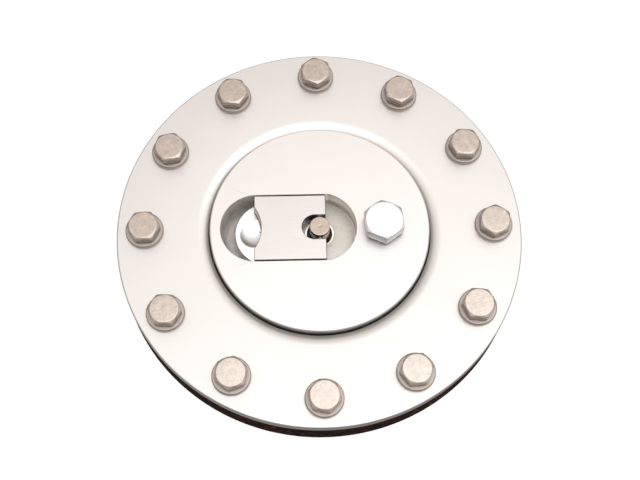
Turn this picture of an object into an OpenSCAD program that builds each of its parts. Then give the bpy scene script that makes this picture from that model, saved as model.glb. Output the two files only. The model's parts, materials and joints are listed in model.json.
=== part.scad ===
// Twelve-bolt blind flange whose flush cap is locked by a flip-up cam lever.
// The origin is on the axis, at the underside of the gasket. +Z points out of the flange face.
// The lever's tip points to -X and the vent plug sits at +X. All sizes are in millimetres.

/* [Flange] */
// Outside diameter of the flange and of its gasket
flange_d = 140; // [138:0.5:146]
// Thickness of the flange plate at its rim
plate_t = 3; // [2.5:0.5:4]
// Thickness of the gasket under the plate
gasket_t = 10; // [8:0.5:12]
// Diameter of the bore that the cap drops into
bore_d = 77; // [76.8:0.1:77.4]
// Width of the rounded lip around the cap
lip_w = 4; // [3:0.5:5]
// Fall of that lip from the flange face to the bore
lip_fall = 1.2; // [0.8:0.1:2]
// Size of the broken edge around the flange's face
rim_edge = 0.6; // [0.3:0.1:1]
// Outside diameter of the neck under the plate
neck_d = 88; // [87:0.5:89]
// Length of the neck, measured down from the flange face
neck_h = 36; // [36:1:44]

/* [Mounting bolts] */
// Diameter of the bolt circle
bolt_circle_d = 120.65; // [120:0.05:121]
// Number of mounting bolts
bolt_count = 12; // [6:1:12]
// Thread diameter of the bolts
bolt_d = 6; // [5:0.5:6]
// Diameter of the plain shank between a bolt's head and its thread
shank_d = 5.4; // [5:0.1:5.6]
// Length of the bolts under their heads
bolt_l = 30; // [25:5:40]
// Width of the bolt heads across flats
bolt_flats = 10; // [8:0.5:10]
// Height of the bolt heads
bolt_head_h = 4; // [3.5:0.5:4]
// Outside diameter of the flat washers
washer_d = 13; // [11:0.5:13]
// Thickness of the flat washers
washer_t = 1.6; // [1:0.2:1.6]
// Angle that each bolt head came to rest at when it was tightened
head_turns = [37, 54, 11, 3, 57, 19, 47, 6, 54, 25, 57, 35]; // [0:1:60]

/* [Seat and bayonet] */
// Depth of the cap's seat below the flange face
seat_depth = 14; // [14:0.5:15]
// Thickness of the ledge that the lock bar pulls against
ledge_t = 8; // [7:0.5:9]
// Inside diameter of the ledge
ledge_d = 54; // [53:0.5:55]
// Diameter of the stop pins at the ends of the quarter turn
stop_pin_d = 3; // [2.5:0.5:3]
// Length of the stop pins
stop_pin_l = 11; // [9:1:11]

/* [Cap] */
// Diameter of the cap
cap_d = 76; // [75.6:0.1:76.2]
// Height of the cap's top above the flange face
cap_proud = 1.4; // [1:0.1:2]
// Chamfer around the cap's top
cap_chamfer = 0.5; // [0.3:0.1:0.8]
// Depth of the cap's underside below the flange face
cap_depth = 18; // [17.5:0.5:19]
// Diameter of the spigot that fits inside the ledge
spigot_d = 53.2; // [52:0.1:53.2]
// Cross section of the cap's O-ring
cap_seal_d = 3.5; // [3.2:0.1:3.6]
// Mean diameter of the cap's O-ring
cap_seal_pitch_d = 69; // [68.5:0.5:69.5]

/* [Lever pocket] */
// Half width of the straight sides and radius of the pocket's tip end
slot_r = 12.4; // [12.3:0.05:12.5]
// Distance from the cap's axis to the centre of the pocket's tip end
slot_reach = 21.9; // [21.5:0.1:22.2]
// Radius of the round end of the pocket about the cap's axis
eye_r = 12.8; // [12.6:0.1:13]
// Depth of the wear plate's top below the cap's top
floor_depth = 6.2; // [6:0.1:6.4]
// Thickness of the wear plate under the cam
wear_t = 1.2; // [1:0.1:1.4]
// Depth of the finger well below the cap's top
well_depth = 11.2; // [10.8:0.1:11.4]
// Radius of the rounded bottom edge of the finger well
well_fillet_r = 3; // [2:0.5:4]

/* [Cam lever] */
// Width of the lever
lever_w = 24; // [23.8:0.1:24.2]
// Distance from the pivot to the outer face of the upper block
block_reach = 22.6; // [22:0.1:23]
// Distance from the pivot to the lip's rounded tip
lip_reach = 29.5; // [29:0.1:30]
// Distance that the fork arms extend past the pivot
arm_reach = 2.2; // [2.1:0.1:2.3]
// Depth of the pivot below the lever's top
pivot_depth = 2.9; // [2.8:0.1:3]
// Height of the cam below the pivot when the lever lies flat
cam_h = 3.28; // [3.27:0.01:3.28]
// Depth of the lip's top below the lever's top
lip_drop = 5.5; // [5.2:0.1:5.6]
// Thickness of the lip
lip_t = 3.5; // [3:0.1:3.8]
// Half width of the fork's slot
fork_r = 4.5; // [4.4:0.1:4.6]
// Distance from the pivot to the centre of the fork slot's round end
fork_reach = 1.6; // [1.5:0.1:1.8]
// Radius of the concave front of the upper block
scoop_r = 13.7; // [13:0.1:14.5]
// Distance from the pivot to the bottom of that concave front
scoop_reach = 20.2; // [19.8:0.1:20.6]
// Radius of the thumb dimple at the lip's surface
dimple_r = 5.4; // [5:0.1:5.6]
// Depth of the thumb dimple
dimple_depth = 1.6; // [1.2:0.1:1.8]
// Distance from the pivot to the centre of the dimple
dimple_reach = 22.9; // [22.5:0.1:23.3]

/* [Spindle] */
// Diameter of the spindle
spindle_d = 7; // [6.8:0.1:7.2]
// Height of the spindle's top above the cap's top
spindle_proud = 0.6; // [0.4:0.1:0.8]
// Diameter of the spindle's threaded end
spindle_thread_d = 6; // [5.5:0.5:6]
// Width across the two flats that carry the lock bar
spindle_flats = 5.4; // [5.2:0.1:5.6]
// Diameter of the pin that the lever turns on
lever_pin_d = 2.5; // [2:0.1:2.6]
// Outside diameter of the spindle's bush, seal and seal bore
gland_d = 11; // [11:0.1:11.4]
// Diameter of the hole in the pocket floor around the spindle
floor_hole_d = 8.5; // [8.3:0.1:8.7]

/* [Lock bar] */
// Length of the lock bar from tip to tip
bar_l = 62; // [60:0.5:62]
// Width of the lock bar
bar_w = 14; // [12:0.5:15]
// Thickness of the lock bar
bar_t = 5; // [4:0.5:5]
// Wire diameter of the return spring
spring_wire_d = 1; // [0.8:0.1:1]
// Mean diameter of the return spring
spring_d = 11; // [10.5:0.1:11.2]

/* [Vent plug] */
// Distance from the cap's axis to the vent plug
plug_x = 22; // [21.8:0.1:22.3]
// Thread diameter of the vent plug
plug_d = 8; // [6:0.5:8]
// Width of the plug's head across flats
plug_flats = 13; // [12:0.5:13]
// Height of the plug's head
plug_head_h = 5.3; // [4.5:0.1:5.5]
// Length of the plug's thread
plug_l = 12; // [10:1:14]
// Thickness of the seal under the plug's head
plug_seal_t = 0.5; // [0.4:0.1:0.8]
// Angle that the plug's head came to rest at
plug_turn = 35.6; // [0:0.1:60]

/* [Hidden] */
$fn = 96;

// Clearances: fixed pieces that only touch, pieces that turn or slide, and loose holes around bolts
snug = 0.01;
run = 0.03;
loose = 0.3;
// A cut starts this far outside the solid that it cuts
over = 1;
// Size of a broken edge
edge = 0.3;

// The gasket stands clear of the neck and of the bolts
gasket_gap = 1.5;
gasket_hole_gap = 0.5;

// Heights of the main faces
face_z = gasket_t + plate_t;
cap_top = face_z + cap_proud;
cap_bottom = face_z - cap_depth;
seat_z = face_z - seat_depth;
ledge_bottom = seat_z - ledge_t;
neck_bottom = face_z - neck_h;
floor_z = cap_top - floor_depth;
pivot_z = cap_top - pivot_depth;
bar_top = ledge_bottom - run;
bar_bottom = bar_top - bar_t;

// The cap's shoulder stands off its seat, and the O-ring in its groove carries the cap
shoulder_gap = 0.4;
seal_squeezed_h = 0.88 * cap_seal_d;
seal_squeezed_w = 1.1 * cap_seal_d;
seal_groove_w = 1.2 * cap_seal_d;
shoulder_z = seat_z + shoulder_gap;
seal_groove_top = seat_z + seal_squeezed_h;

// Wall left between the eye of the pocket and the finger well, and the heel's gap to it
well_wall = 1.1;
heel_gap = 0.4;

// Bush, seal and washer stacked around the spindle, from the top down
floor_to_bush = 4.2;
bush_top = floor_z - floor_to_bush;
bush_l = 4;
seal_top = bush_top - bush_l;
seal_h = 2;
gland_top = seal_top - seal_h;
gland_t = 1.2;
gland_washer_d = 16;
gland_washer_gap = 0.1;
gland_washer_bore_d = 7.3;
ring_t = 1;
ring_play = 0.05;
ring_groove_d = 17;
spring_top = gland_top - gland_t - snug;
spring_end_turns = 0.75;
spring_turns = 4;

// The cam's support distance falls by this much per radian that the lever lifts
cam_fall = (cam_h - arm_reach) / (PI / 2);

// The bar meets a stop pin on each side of its quarter turn. The pins are pressed into the ledge from below
bar_gap = 0.05;
stop_r = 29.5;
pin_seat = 6;
// Room around the bar in the entry slots
entry_end_gap = 0.4;
entry_side_gap = 0.8;
stop_offset = bar_w / 2 + stop_pin_d / 2 + bar_gap;
stop_angle = acos(stop_offset / stop_r);

bar_washer_t = 1.2;
bar_washer_d = 12;
bar_washer_gap = 0.2;
nut_top = bar_bottom - bar_washer_t;
nut_h = 5;
nut_crown_h = 1.4;
nut_flats = 10;
nut_turn = 12;
crown_d = 8.8;
crown_lip_h = 0.3;
insert_d = 7.8;
crown_bottom = nut_top - nut_h - nut_crown_h;
spindle_end = 1;
spindle_bottom = crown_bottom - spindle_end;

// Slope of the turned chamfer on hexagon heads, and the diameter of the flat that it leaves
head_chamfer_angle = 30;
bolt_top_d = 0.95 * bolt_flats;
plug_top_d = 0.97 * plug_flats;

// A hexagon's corner radius for a width across flats
function corner_r(flats) = flats / 2 / cos(30);

// A plain ring about the Z axis, standing on z
module ring(outer_r, inner_r, z, h) {
    translate([0, 0, z]) difference() {
        cylinder(r = outer_r, h = h);
        translate([0, 0, -over]) cylinder(r = inner_r, h = h + 2 * over);
    }
}

// Puts its children at every place on the bolt circle
module at_bolts() {
    for (i = [0 : bolt_count - 1])
        rotate(90 + i * 360 / bolt_count) translate([bolt_circle_d / 2, 0, 0]) children();
}

// A hexagon head with a turned chamfer on its top, standing on z = 0
module hex_head(flats, h, turn, top_d) {
    top_r = top_d / 2;
    round_r = corner_r(flats) + 0.02;
    chamfer_h = (round_r - top_r) * tan(head_chamfer_angle);
    intersection() {
        rotate(turn) cylinder(r = corner_r(flats), h = h, $fn = 6);
        union() {
            translate([0, 0, h - chamfer_h]) cylinder(r1 = round_r, r2 = top_r, h = chamfer_h);
            cylinder(r = round_r, h = h - chamfer_h);
        }
    }
}

// ---- Flange ----

// Half section of the plate and its neck, with the rounded lip into the bore
module flange_section() {
    bore_r = bore_d / 2;
    neck_r = neck_d / 2;
    lip_r = (lip_w * lip_w + lip_fall * lip_fall) / (2 * lip_fall);
    difference() {
        polygon([
            [ledge_d / 2, ledge_bottom], [bore_r, ledge_bottom], [bore_r, neck_bottom],
            [neck_r - edge, neck_bottom], [neck_r, neck_bottom + edge], [neck_r, gasket_t],
            [flange_d / 2, gasket_t], [flange_d / 2, face_z - rim_edge], [flange_d / 2 - rim_edge, face_z],
            [bore_r, face_z], [bore_r, seat_z], [ledge_d / 2, seat_z]
        ]);
        difference() {
            translate([bore_r - over, face_z - lip_fall - over]) square([lip_w + over, lip_fall + 2 * over]);
            translate([bore_r + lip_w, face_z - lip_r]) circle(r = lip_r);
        }
    }
}

// Places of the two stop pins: one beside each end of the bar's quarter turn
module at_stop_pins() {
    for (a = [stop_angle, 270 - stop_angle]) rotate(a) translate([stop_r, 0, ledge_bottom]) children();
}

module flange_plate() {
    color("gainsboro") difference() {
        rotate_extrude() flange_section();
        translate([0, 0, gasket_t - over]) at_bolts()
            cylinder(d = bolt_d + 2 * loose, h = plate_t + 2 * over);
        // The two entry slots that let the bar through when the cap is turned
        translate([0, 0, ledge_bottom - over]) intersection() {
            cylinder(r = bar_l / 2 + entry_end_gap, h = ledge_t + 2 * over);
            translate([-bar_l, -bar_w / 2 - entry_side_gap, 0])
                cube([2 * bar_l, bar_w + 2 * entry_side_gap, ledge_t + 2 * over]);
        }
        at_stop_pins() translate([0, 0, -over]) cylinder(d = stop_pin_d + 2 * snug, h = over + pin_seat);
    }
}

module base_gasket() {
    color([0.17, 0.12, 0.11]) difference() {
        ring(flange_d / 2, neck_d / 2 + gasket_gap, 0, gasket_t);
        translate([0, 0, -over]) at_bolts()
            cylinder(d = bolt_d + 2 * gasket_hole_gap, h = gasket_t + 2 * over);
    }
}

module mounting_bolts() {
    under_head = face_z + washer_t;
    thread_l = bolt_l - under_head;
    tip = 0.8;
    color([0.72, 0.65, 0.6]) for (i = [0 : bolt_count - 1])
        rotate(90 + i * 360 / bolt_count) translate([bolt_circle_d / 2, 0, 0]) {
            translate([0, 0, under_head])
                hex_head(bolt_flats, bolt_head_h, head_turns[i] - 90 - i * 360 / bolt_count, bolt_top_d);
            translate([0, 0, -tip]) cylinder(d = shank_d, h = under_head + tip);
            // The thread starts at the gasket's underside
            translate([0, 0, tip - thread_l]) cylinder(d = bolt_d, h = thread_l - tip);
            translate([0, 0, -thread_l]) cylinder(d1 = bolt_d - 2 * tip, d2 = bolt_d, h = tip);
        }
}

module bolt_washers() {
    color([0.7, 0.64, 0.6]) at_bolts() ring(washer_d / 2, bolt_d / 2 + 0.2, face_z, washer_t);
}

module stop_pins() {
    color("silver") at_stop_pins() translate([0, 0, pin_seat - stop_pin_l])
        cylinder(d = stop_pin_d, h = stop_pin_l);
}

// ---- Cap ----

// Half section of the finger well: straight wall, rounded bottom edge, flat floor
module well_section(half_w) {
    depth = well_depth + over;
    translate([0, cap_top - well_depth]) {
        translate([0, well_fillet_r]) square([half_w, depth - well_fillet_r]);
        square([half_w - well_fillet_r, depth]);
        translate([half_w - well_fillet_r, well_fillet_r]) circle(r = well_fillet_r);
    }
}

// The deep finger well under the lever's lip, ending in a flat wall beside the wear plate
module finger_well() {
    run_l = slot_reach - eye_r - well_wall;
    translate([-slot_reach, 0, 0]) {
        rotate([0, 0, 90]) rotate_extrude(angle = 180) intersection() {
            well_section(slot_r);
            translate([0, cap_top - well_depth]) square([slot_r, well_depth + over]);
        }
        for (side = [0, 1]) mirror([0, side, 0]) translate([-0.001, 0, 0])
            rotate([90, 0, 90]) linear_extrude(height = run_l) well_section(slot_r);
    }
}

module cap_body() {
    cap_r = cap_d / 2;
    color("whitesmoke") difference() {
        rotate_extrude() polygon([
            [0, cap_bottom], [spigot_d / 2 - edge, cap_bottom], [spigot_d / 2, cap_bottom + edge],
            [spigot_d / 2, shoulder_z], [cap_r, shoulder_z], [cap_r, cap_top - cap_chamfer],
            [cap_r - cap_chamfer, cap_top], [0, cap_top]
        ]);
        // Groove for the cap's O-ring, open downwards
        ring((cap_seal_pitch_d + seal_groove_w) / 2, (cap_seal_pitch_d - seal_groove_w) / 2,
            shoulder_z - over, seal_groove_top - shoulder_z + over);
        // Pocket: round eye, straight sides and the deep well
        translate([0, 0, floor_z - wear_t]) cylinder(r = eye_r, h = floor_depth + wear_t + over);
        translate([-slot_reach, -slot_r, floor_z - wear_t])
            cube([slot_reach, 2 * slot_r, floor_depth + wear_t + over]);
        finger_well();
        // Stepped bore for the spindle, its bush, its seal and the washer that holds the seal
        translate([0, 0, bush_top - over]) cylinder(d = floor_hole_d, h = floor_depth + 2 * over);
        translate([0, 0, gland_top - over]) cylinder(d = gland_d, h = bush_top - gland_top + over);
        translate([0, 0, cap_bottom - over])
            cylinder(d = gland_washer_d + 2 * gland_washer_gap, h = gland_top - cap_bottom + over);
        translate([0, 0, spring_top - ring_t - 2 * ring_play])
            cylinder(d = ring_groove_d, h = ring_t + 2 * ring_play);
        // Vent hole
        translate([plug_x, 0, cap_bottom - over]) cylinder(d = plug_d, h = cap_top - cap_bottom + 2 * over);
    }
}

// An O-ring squeezed flat between two faces
module squeezed_ring(mean_r, half_w, z0, h) {
    round_r = h / 2;
    rotate_extrude() translate([mean_r, z0 + h / 2]) {
        translate([-(half_w - round_r), 0]) circle(r = round_r);
        translate([half_w - round_r, 0]) circle(r = round_r);
        translate([-(half_w - round_r), -h / 2]) square([2 * (half_w - round_r), h]);
    }
}

module cap_seal() {
    color([0.1, 0.1, 0.1]) squeezed_ring(cap_seal_pitch_d / 2, seal_squeezed_w / 2, seat_z + snug,
        seal_squeezed_h - 2 * snug);
}

module wear_plate() {
    chamfer = 0.2;
    gap = 0.35;
    plate_r = eye_r - gap;
    color([0.82, 0.8, 0.76]) difference() {
        ring(plate_r, floor_hole_d / 2, floor_z - wear_t, wear_t);
        translate([0, 0, floor_z - chamfer])
            cylinder(r1 = floor_hole_d / 2, r2 = floor_hole_d / 2 + chamfer + 0.01, h = chamfer + 0.01);
    }
}

module spindle_bush() {
    color([0.72, 0.55, 0.3]) ring(gland_d / 2 - snug, spindle_d / 2 + run, seal_top, bush_l - snug);
}

module spindle_seal() {
    cord_r = (gland_d - spindle_d) / 4 - run / 2;
    color([0.12, 0.12, 0.12]) rotate_extrude()
        translate([(gland_d + spindle_d) / 4, gland_top + seal_h / 2]) circle(r = cord_r);
}

module gland_washer() {
    color("silver") ring(gland_washer_d / 2, gland_washer_bore_d / 2, gland_top - gland_t, gland_t - snug);
}

// An internal circlip: a springy ring with a gap and two eyes
module retaining_ring() {
    outer_r = ring_groove_d / 2 - ring_play;
    band = 1.4;
    gap_half = 14;
    eye_turn = gap_half + 9;
    eye_out_r = 1.1;
    eye_x = outer_r - eye_out_r - ring_play;
    wedge_x = 2 * outer_r;
    color([0.35, 0.33, 0.3]) translate([0, 0, spring_top - ring_t - ring_play])
        linear_extrude(height = ring_t) difference() {
            union() {
                difference() {
                    circle(r = outer_r);
                    circle(r = outer_r - band);
                }
                for (s = [-1, 1]) rotate(s * eye_turn) translate([eye_x, 0]) circle(r = eye_out_r);
            }
            polygon([[0, 0], [wedge_x, -wedge_x * tan(gap_half)], [wedge_x, wedge_x * tan(gap_half)]]);
            for (s = [-1, 1]) rotate(s * eye_turn) translate([eye_x, 0]) circle(r = 0.5);
        }
}

// ---- Vent plug ----

module plug_seal() {
    inset = 0.3;
    gap = 0.1;
    color([0.2, 0.2, 0.2]) translate([plug_x, 0, 0])
        ring(plug_flats / 2 - inset, plug_d / 2 + gap, cap_top + snug, plug_seal_t - 2 * snug);
}

module vent_plug() {
    tip = 0.8;
    color([0.93, 0.93, 0.95]) translate([plug_x, 0, cap_top + plug_seal_t]) {
        hex_head(plug_flats, plug_head_h, plug_turn, plug_top_d);
        translate([0, 0, tip - plug_l]) cylinder(d = plug_d - 2 * run, h = plug_l - tip);
        translate([0, 0, -plug_l]) cylinder(d1 = plug_d - 2 * tip, d2 = plug_d - 2 * run, h = tip);
    }
}

// ---- Spindle and lock bar ----

module spindle() {
    r = spindle_d / 2;
    thread_r = spindle_thread_d / 2 - snug;
    color([0.78, 0.7, 0.66]) difference() {
        union() {
            rotate_extrude() polygon([
                [0, bar_top], [r, bar_top], [r, cap_top + spindle_proud - edge],
                [r - edge, cap_top + spindle_proud], [0, cap_top + spindle_proud]
            ]);
            // Flats that key the lock bar
            translate([0, 0, bar_bottom]) intersection() {
                cylinder(r = r, h = bar_t);
                translate([-spindle_flats / 2, -r, 0]) cube([spindle_flats, 2 * r, bar_t]);
            }
            rotate_extrude() polygon([
                [0, spindle_bottom], [thread_r - edge, spindle_bottom], [thread_r, spindle_bottom + edge],
                [thread_r, bar_bottom], [0, bar_bottom]
            ]);
        }
        translate([0, r + over, pivot_z]) rotate([90, 0, 0])
            cylinder(d = lever_pin_d + 2 * snug, h = 2 * (r + over));
    }
}

module lever_pin() {
    inset = 0.4;
    pin_l = lever_w - 2 * inset;
    color("silver") translate([0, pin_l / 2, pivot_z]) rotate([90, 0, 0])
        cylinder(d = lever_pin_d, h = pin_l);
}

module lock_bar() {
    r = bar_l / 2;
    nose = 1.5;
    color([0.75, 0.76, 0.78]) difference() {
        intersection() {
            // The bar's ends are round, and bevelled underneath
            rotate_extrude() polygon([
                [0, bar_bottom], [r - nose, bar_bottom], [r, bar_bottom + nose], [r, bar_top], [0, bar_top]
            ]);
            translate([-bar_w / 2, -bar_l, bar_bottom - over]) cube([bar_w, 2 * bar_l, bar_t + 2 * over]);
        }
        translate([0, 0, bar_bottom - over]) intersection() {
            cylinder(d = spindle_d + 2 * run, h = bar_t + 2 * over);
            translate([-spindle_flats / 2 - run, -spindle_d, 0])
                cube([spindle_flats + 2 * run, 2 * spindle_d, bar_t + 2 * over]);
        }
    }
}

module bar_washer() {
    color("silver") ring(bar_washer_d / 2, spindle_thread_d / 2 + bar_washer_gap, nut_top, bar_washer_t);
}

// Lock nut with a round crown that holds its nylon insert
module lock_nut() {
    color([0.75, 0.76, 0.78]) difference() {
        union() {
            translate([0, 0, nut_top]) mirror([0, 0, 1]) hex_head(nut_flats, nut_h, nut_turn, bolt_top_d);
            translate([0, 0, crown_bottom]) cylinder(d = crown_d, h = nut_crown_h + over);
        }
        translate([0, 0, crown_bottom - over])
            cylinder(d = spindle_thread_d + 2 * snug, h = nut_h + nut_crown_h + 2 * over);
        translate([0, 0, crown_bottom + crown_lip_h]) cylinder(d = insert_d, h = nut_crown_h);
    }
}

module nut_insert() {
    color([0.15, 0.3, 0.65]) ring(insert_d / 2 - snug, spindle_thread_d / 2 + snug,
        crown_bottom + crown_lip_h + snug, nut_crown_h - 2 * snug);
}

// Height of the spring's wire at a number of turns from its top end: close at both ends, open between
function spring_z(t) =
    let (close = 1.04 * spring_wire_d,
         height = spring_top - bar_top - spring_wire_d - 2 * run,
         open = (height - 2 * spring_end_turns * close) / (spring_turns - 2 * spring_end_turns))
    t < spring_end_turns ? t * close :
    t < spring_turns - spring_end_turns ? spring_end_turns * close + (t - spring_end_turns) * open :
    height - (spring_turns - t) * close;

module return_spring() {
    steps = 24 * spring_turns;
    sides = 10;
    wire_r = spring_wire_d / 2;
    points = [for (i = [0 : steps]) let (t = i / 24) for (k = [0 : sides - 1])
        let (r = spring_d / 2 + wire_r * cos(k * 360 / sides), a = t * 360)
        [r * cos(a), r * sin(a), spring_top - run - wire_r - spring_z(t) + wire_r * sin(k * 360 / sides)]];
    walls = [for (i = [0 : steps - 1]) for (k = [0 : sides - 1]) let (n = (k + 1) % sides)
        [i * sides + k, i * sides + n, (i + 1) * sides + n, (i + 1) * sides + k]];
    ends = [[for (k = [0 : sides - 1]) sides - 1 - k], [for (k = [0 : sides - 1]) steps * sides + k]];
    color([0.6, 0.6, 0.62]) polyhedron(points, concat(walls, ends));
}

// ---- Lever ----

// The cam nose: an outline whose distance from the pivot falls evenly as the lever lifts
function cam_point(a) =
    let (h = cam_h - cam_fall * a * PI / 180)
    [h * sin(a) - cam_fall * cos(a), -h * cos(a) - cam_fall * sin(a)];

// Side view of the upper block about the pivot: X along the lever, Y up
module block_side() {
    heel_x = -(eye_r + well_wall + heel_gap);
    polygon(concat(
        [for (a = [0 : 6 : 90]) cam_point(a)],
        [
            [arm_reach, pivot_depth], [-block_reach, pivot_depth],
            [-block_reach, pivot_depth - lip_drop - lip_t], [heel_x, pivot_depth - lip_drop - lip_t],
            [heel_x, -cam_h]
        ]
    ));
}

module cam_lever() {
    half_w = lever_w / 2;
    ball_r = (dimple_r * dimple_r + dimple_depth * dimple_depth) / (2 * dimple_depth);
    lip_top = pivot_depth - lip_drop;
    color("gainsboro") translate([0, 0, pivot_z]) difference() {
        union() {
            difference() {
                translate([0, half_w, 0]) rotate([90, 0, 0]) linear_extrude(height = lever_w) block_side();
                // Concave front of the block, down to the lip
                translate([-scoop_reach - scoop_r, 0, lip_top]) cylinder(r = scoop_r, h = lip_drop + over);
            }
            // The lip: a half disc
            translate([half_w - lip_reach, 0, lip_top - lip_t]) intersection() {
                cylinder(r = half_w, h = lip_t);
                translate([-half_w - over, -half_w, 0]) cube([half_w + over, lever_w, lip_t]);
            }
        }
        // Thumb dimple in the lip, as far as the foot of the concave front
        intersection() {
            translate([-dimple_reach, 0, lip_top + ball_r - dimple_depth]) sphere(r = ball_r);
            translate([-scoop_reach - scoop_r, 0, lip_top - lip_t]) cylinder(r = scoop_r, h = lip_t + over);
        }
        // Fork slot around the spindle
        translate([-fork_reach, 0, -lip_drop - lip_t]) cylinder(r = fork_r, h = 2 * (lip_drop + lip_t));
        translate([-fork_reach, -fork_r, -lip_drop - lip_t])
            cube([fork_reach + arm_reach + over, 2 * fork_r, 2 * (lip_drop + lip_t)]);
        // Pivot bore
        translate([0, half_w + over, 0]) rotate([90, 0, 0])
            cylinder(d = lever_pin_d + 2 * run, h = lever_w + 2 * over);
    }
}

flange_plate();
base_gasket();
mounting_bolts();
bolt_washers();
stop_pins();
cap_body();
cap_seal();
wear_plate();
spindle_bush();
spindle_seal();
gland_washer();
retaining_ring();
plug_seal();
vent_plug();
spindle();
lever_pin();
lock_bar();
bar_washer();
lock_nut();
nut_insert();
return_spring();
cam_lever();
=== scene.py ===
import json
import math

import bmesh
import bpy
from mathutils import Matrix, Quaternion, Vector, noise


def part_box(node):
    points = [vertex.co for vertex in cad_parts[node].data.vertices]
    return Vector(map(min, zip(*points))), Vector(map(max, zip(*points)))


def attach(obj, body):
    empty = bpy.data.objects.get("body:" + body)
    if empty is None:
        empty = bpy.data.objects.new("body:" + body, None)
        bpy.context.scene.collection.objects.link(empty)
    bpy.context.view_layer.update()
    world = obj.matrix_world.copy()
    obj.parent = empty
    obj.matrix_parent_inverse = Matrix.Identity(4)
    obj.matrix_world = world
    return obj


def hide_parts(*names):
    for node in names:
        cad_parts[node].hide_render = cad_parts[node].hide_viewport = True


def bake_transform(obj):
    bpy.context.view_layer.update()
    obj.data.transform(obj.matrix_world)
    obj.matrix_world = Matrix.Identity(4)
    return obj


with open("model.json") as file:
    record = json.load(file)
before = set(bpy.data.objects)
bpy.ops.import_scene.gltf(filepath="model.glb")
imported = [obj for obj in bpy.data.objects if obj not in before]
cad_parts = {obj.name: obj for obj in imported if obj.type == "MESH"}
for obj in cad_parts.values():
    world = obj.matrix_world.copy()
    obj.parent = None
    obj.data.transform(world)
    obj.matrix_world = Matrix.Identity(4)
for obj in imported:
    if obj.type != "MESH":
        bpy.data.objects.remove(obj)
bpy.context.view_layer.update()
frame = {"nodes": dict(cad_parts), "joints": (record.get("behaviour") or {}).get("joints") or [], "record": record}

# Looks of the blind flange and its flush quick-release cap. Shapes are worked out in millimetres in
# the part's own frame (+Z out of the flange face, lever tip towards -X) and become metres when a mesh
# is made.
MM = 0.001


# ----------------------------------------------------------------------------
# Sizes, read from the frame where a node's box gives them
# ----------------------------------------------------------------------------

def box_mm(node):
    low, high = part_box(node)
    return low / MM, high / MM


def mount(name):
    return next(m for m in frame["record"]["mounts"] if m["name"] == name)


def joint(name):
    return next(j for j in frame["joints"] if j["name"] == name)


FLANGE_LOW, FLANGE_HIGH = box_mm("flange_plate")
GASKET_LOW, GASKET_HIGH = box_mm("base_gasket")
BOLT_LOW, BOLT_HIGH = box_mm("mounting_bolts")
WASHER_LOW, WASHER_HIGH = box_mm("bolt_washers")
CAP_LOW, CAP_HIGH = box_mm("cap_body")
SEAL_LOW, SEAL_HIGH = box_mm("cap_seal")
PLATE_LOW, PLATE_HIGH = box_mm("wear_plate")
SPINDLE_LOW, SPINDLE_HIGH = box_mm("spindle")
BAR_LOW, BAR_HIGH = box_mm("lock_bar")
NUT_LOW, NUT_HIGH = box_mm("lock_nut")
PLUG_LOW, PLUG_HIGH = box_mm("vent_plug")
PLUG_SEAL_HIGH = box_mm("plug_seal")[1]
LEVER_LOW, LEVER_HIGH = box_mm("cam_lever")
SPRING_LOW, SPRING_HIGH = box_mm("return_spring")

FACE_Z = WASHER_LOW.z
FLANGE_R = FLANGE_HIGH.x
STUDS = mount("studs")["dims"]
BOLT_COUNT = STUDS["count"]
BOLT_CIRCLE_R = STUDS["pcd_mm"] / 2
BOLT_R = STUDS["stud_r_mm"]
NECK_R = mount("neck")["dims"]["r_mm"]
CAP_R = CAP_HIGH.x
CAP_TOP = CAP_HIGH.z
FLOOR_Z = PLATE_HIGH.z
PIVOT_Z = joint("lever_lift")["pos_m"][2] / MM
PLUG_X = joint("plug_turn")["pos_m"][0] / MM

# Sizes of details inside a node, in millimetres
BORE_R = 38.5
LIP_W = 4.0
LIP_FALL = 1.2
RIM_EDGE = 0.6
CAP_CHAMFER = 0.38
SEAT_Z = SEAL_LOW.z
LEDGE_BOTTOM = BAR_HIGH.z + 0.03
LEDGE_R = 27.0
SEAL_MEAN_R = 34.5
SLOT_R = 12.4
SLOT_REACH = 21.9
EYE_R = 12.8
WELL_END_X = -13.9
WELL_DEPTH = 11.2
WELL_FILLET = 3.0
WELL_WALL = 1.1
HEEL_GAP = 0.4
FLOOR_HOLE_R = 4.25
RUBBED_HIGHLIGHT_R = 5.1
SPINDLE_R = 3.5
SPINDLE_FLATS = 5.4
SPINDLE_THREAD_R = 2.98
FORK_R = 4.5
FORK_REACH = 1.6
PIN_BORE_R = 1.28
BLOCK_X = -22.6
LIP_DROP = 5.5
SCOOP_R = 13.7
SCOOP_X = -20.2
DIMPLE_R = 5.4
DIMPLE_DEPTH = 1.6
DIMPLE_X = -22.9
BOLT_FLATS = 10.0
BOLT_TOP_D = 9.5
BOLT_SHANK_R = 2.7
PLUG_FLATS = 13.0
PLUG_TOP_D = 12.61
PLUG_THREAD_R = 3.97
NUT_CROWN_R = 4.4
NUT_CROWN_H = 1.4
STOP_PIN_R = 1.5
HEAD_CHAMFER = math.radians(30)
M6_PITCH = 1.0
M8_PITCH = 1.25


# ----------------------------------------------------------------------------
# Mesh tools
# ----------------------------------------------------------------------------

def make(name, points, faces):
    """A new object from points in millimetres."""
    mesh = bpy.data.meshes.new(name)
    mesh.from_pydata([Vector(p) * MM for p in points], [], faces)
    mesh.validate()
    mesh.update()
    obj = bpy.data.objects.new(name, mesh)
    bpy.context.scene.collection.objects.link(obj)
    return obj


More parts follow.
